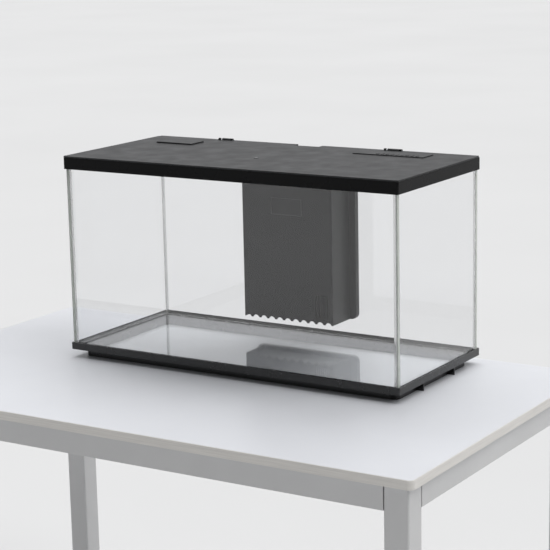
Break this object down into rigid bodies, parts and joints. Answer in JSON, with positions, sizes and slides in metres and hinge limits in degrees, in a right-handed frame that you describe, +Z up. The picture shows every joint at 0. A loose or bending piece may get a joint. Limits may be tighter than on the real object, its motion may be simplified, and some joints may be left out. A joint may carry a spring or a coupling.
{
  "type": "aquarium on stand",
  "caption": "Rectangular glass aquarium with a hinged lid, lamp and internal box filter, standing on a white steel-framed table stand.",
  "frame": {"origin": "on the floor, under the centre of the stand", "axes": "+X to the right and +Y to the back as seen from the front, +Z up; the tank stands on the stand's top, towards its back edge"},
  "size_m": [1.36, 0.8, 1.187],
  "materials": {
    "stand_laminate": "white melamine-faced board, satin",
    "stand_band": "satin edge banding",
    "stand_steel": "white powder coat on steel tube",
    "stand_black_plastic": "moulded insert",
    "zinc_steel": "zinc-plated steel",
    "foot_plastic": "moulded foot on a threaded stud",
    "float_glass": "clear float glass, pale green edges",
    "clear_silicone": "clear silicone bead",
    "base_plastic": "black moulded plastic, semi-gloss",
    "rim_plastic": "black moulded plastic, smooth semi-gloss",
    "lid_plastic": "black moulded plastic, fine grain",
    "hatch_plastic": "black moulded plastic, fine grain",
    "pin_steel": "stainless steel pin",
    "button_plastic": "smooth push button",
    "lamp_aluminium": "satin anodised",
    "lamp_lens": "frosted acrylic",
    "lamp_board": "white circuit board",
    "led_resin": "LED resin",
    "filter_plastic": "charcoal moulded plastic, satin",
    "filter_inner_plastic": "black moulded plastic",
    "filter_foam_coarse": "open-cell foam, coarse",
    "filter_foam_fine": "open-cell foam, fine",
    "ceramic": "unglazed ceramic",
    "pump_plastic": "smooth moulded plastic",
    "impeller_plastic": "white moulded wheel on a coated magnet",
    "shaft_ceramic": "polished ceramic shaft",
    "pad_silicone": "silicone pad",
    "heater_glass": "clear borosilicate tube",
    "heater_ceramic": "ceramic former with winding",
    "dial_plastic": "fluted knob"
  },
  "bodies": {
    "stand": {"stand_top": "stand_laminate", "stand_edge_band": "stand_band", "stand_rail_front": "stand_steel", "stand_rail_back": "stand_steel", "stand_rail_left": "stand_steel", "stand_rail_right": "stand_steel", "stand_leg_front_left": "stand_steel", "stand_leg_front_right": "stand_steel", "stand_leg_back_left": "stand_steel", "stand_leg_back_right": "stand_steel", "stand_leg_inserts": "stand_black_plastic", "stand_lock_nuts": "zinc_steel", "stand_gussets": "stand_steel", "stand_screws": "zinc_steel"},
    "tank": {"tank_base_frame": "base_plastic", "tank_pane_bottom": "float_glass", "tank_pane_front": "float_glass", "tank_pane_back": "float_glass", "tank_pane_left": "float_glass", "tank_pane_right": "float_glass", "tank_corner_seams": "clear_silicone", "tank_bottom_seam": "clear_silicone", "tank_rim_frame": "rim_plastic", "tank_hinge_pins": "pin_steel", "filter_case": "filter_plastic", "filter_back_plate": "filter_plastic", "filter_mount_pads": "pad_silicone", "filter_partitions": "filter_inner_plastic", "filter_sponge_coarse": "filter_foam_coarse", "filter_sponge_fine": "filter_foam_fine", "filter_media_basket": "filter_inner_plastic", "filter_media_rings": "ceramic", "filter_pump_body": "pump_plastic", "filter_pump_cover": "pump_plastic", "filter_impeller_shaft": "shaft_ceramic", "filter_outlet_pipe": "filter_inner_plastic", "heater_tube": "heater_glass", "heater_element": "heater_ceramic", "heater_cap": "filter_inner_plastic", "heater_bracket": "filter_inner_plastic"},
    "lid": {"lid_panel": "lid_plastic", "lid_hatch_pins": "pin_steel", "lid_switch_block": "filter_inner_plastic", "lamp_housing": "lamp_aluminium", "lamp_lens": "lamp_lens", "lamp_board": "lamp_board", "lamp_leds": "led_resin", "lamp_end_caps": "filter_inner_plastic", "lamp_clips": "pin_steel"},
    "feed_hatch": {"lid_feed_hatch": "hatch_plastic"},
    "care_hatch": {"lid_care_hatch": "hatch_plastic"},
    "light_button": {"lid_light_button": "button_plastic"},
    "impeller": {"filter_impeller": "impeller_plastic"},
    "nozzle": {"filter_nozzle": "filter_inner_plastic"},
    "heater_dial": {"heater_dial": "dial_plastic"},
    "foot_front_left": {"stand_foot_front_left": "foot_plastic"},
    "foot_front_right": {"stand_foot_front_right": "foot_plastic"},
    "foot_back_left": {"stand_foot_back_left": "foot_plastic"},
    "foot_back_right": {"stand_foot_back_right": "foot_plastic"}
  },
  "joints": [
    {"name": "tank_lift", "type": "slide", "parent": "stand", "child": "tank", "axis": [0, 0, 1], "range_m": [0, 0.2]},
    {"name": "lid_hinge", "type": "hinge", "parent": "tank", "child": "lid", "pos_m": [0.036, 0.358, 1.183], "axis": [-1, 0, 0], "range_deg": [0, 95]},
    {"name": "feed_hatch_hinge", "type": "hinge", "parent": "lid", "child": "feed_hatch", "pos_m": [-0.258, 0.3079, 1.1816], "axis": [-1, 0, 0], "range_deg": [0, 92]},
    {"name": "care_hatch_hinge", "type": "hinge", "parent": "lid", "child": "care_hatch", "pos_m": [0.2665, 0.3319, 1.1816], "axis": [-1, 0, 0], "range_deg": [0, 92]},
    {"name": "light_button_press", "type": "slide", "parent": "lid", "child": "light_button", "axis": [0, 0, -1], "range_m": [0, 0.0008], "stiffness_N_per_m": 250, "springref_m": -0.001},
    {"name": "impeller_spin", "type": "hinge", "parent": "tank", "child": "impeller", "pos_m": [-0.0575, 0.305, 0.85], "axis": [0, 0, 1], "continuous": true},
    {"name": "nozzle_swivel", "type": "hinge", "parent": "tank", "child": "nozzle", "pos_m": [-0.0575, 0.248, 1.124], "axis": [0, 1, 0], "range_deg": [-60, 60]},
    {"name": "heater_dial_turn", "type": "hinge", "parent": "tank", "child": "heater_dial", "pos_m": [-0.026, 0.283, 1.1], "axis": [0, 0, 1], "range_deg": [0, 270]},
    {"name": "foot_turn_front_left", "type": "hinge", "parent": "stand", "child": "foot_front_left", "pos_m": [-0.64, -0.36, 0.03], "axis": [0, 0, 1], "continuous": true},
    {"name": "foot_turn_front_right", "type": "hinge", "parent": "stand", "child": "foot_front_right", "pos_m": [0.64, -0.36, 0.03], "axis": [0, 0, 1], "continuous": true},
    {"name": "foot_turn_back_left", "type": "hinge", "parent": "stand", "child": "foot_back_left", "pos_m": [-0.64, 0.36, 0.03], "axis": [0, 0, 1], "continuous": true},
    {"name": "foot_turn_back_right", "type": "hinge", "parent": "stand", "child": "foot_back_right", "pos_m": [0.64, 0.36, 0.03], "axis": [0, 0, 1], "continuous": true}
  ]
}
